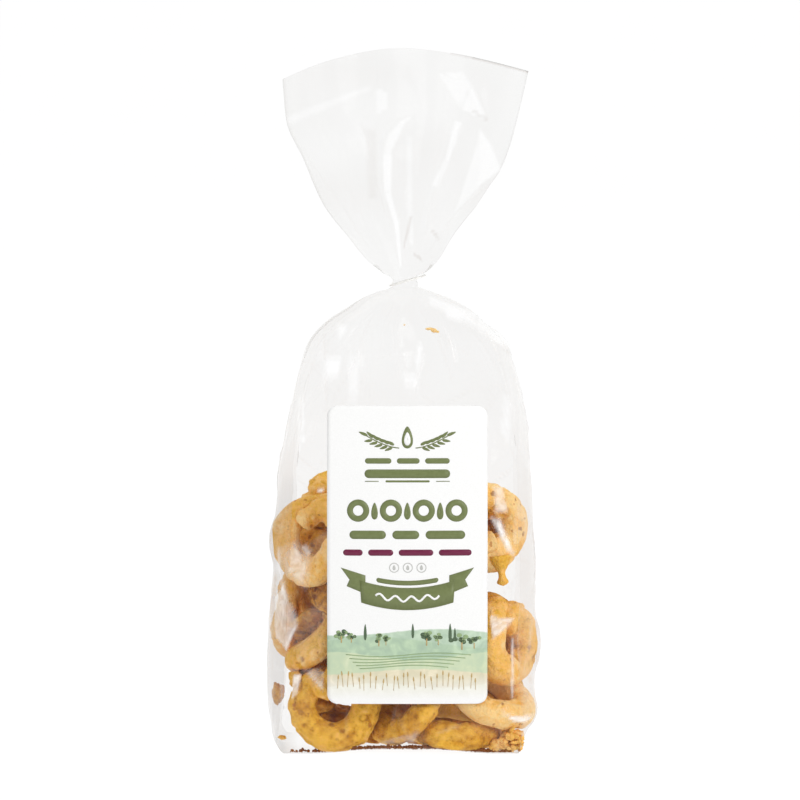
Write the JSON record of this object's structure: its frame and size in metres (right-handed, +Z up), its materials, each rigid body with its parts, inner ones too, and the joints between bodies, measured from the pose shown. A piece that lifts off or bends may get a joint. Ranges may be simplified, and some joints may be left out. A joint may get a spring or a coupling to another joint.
{
  "type": "bag of ring-shaped taralli biscuits",
  "caption": "Clear film bag of taralli, ring-shaped crunchy biscuits, standing on its folded foot, with a paper label in front, a tie round the gathered neck and a fan of film above.",
  "frame": {"origin": "on the surface that the bag stands on, under the middle of the bag", "axes": "+Z up through the neck of the bag, -Y out of the label, +X to the right of someone facing the label"},
  "size_m": [0.1206, 0.071, 0.2995],
  "materials": {
    "film": "clear glossy film",
    "label": "satin, printed",
    "tie": "satin",
    "biscuit": "baked dough, matt, seen through the film"
  },
  "bodies": {
    "root": {"bag": "film", "label": "label", "tie": "tie"}
  },
  "joints": []
}
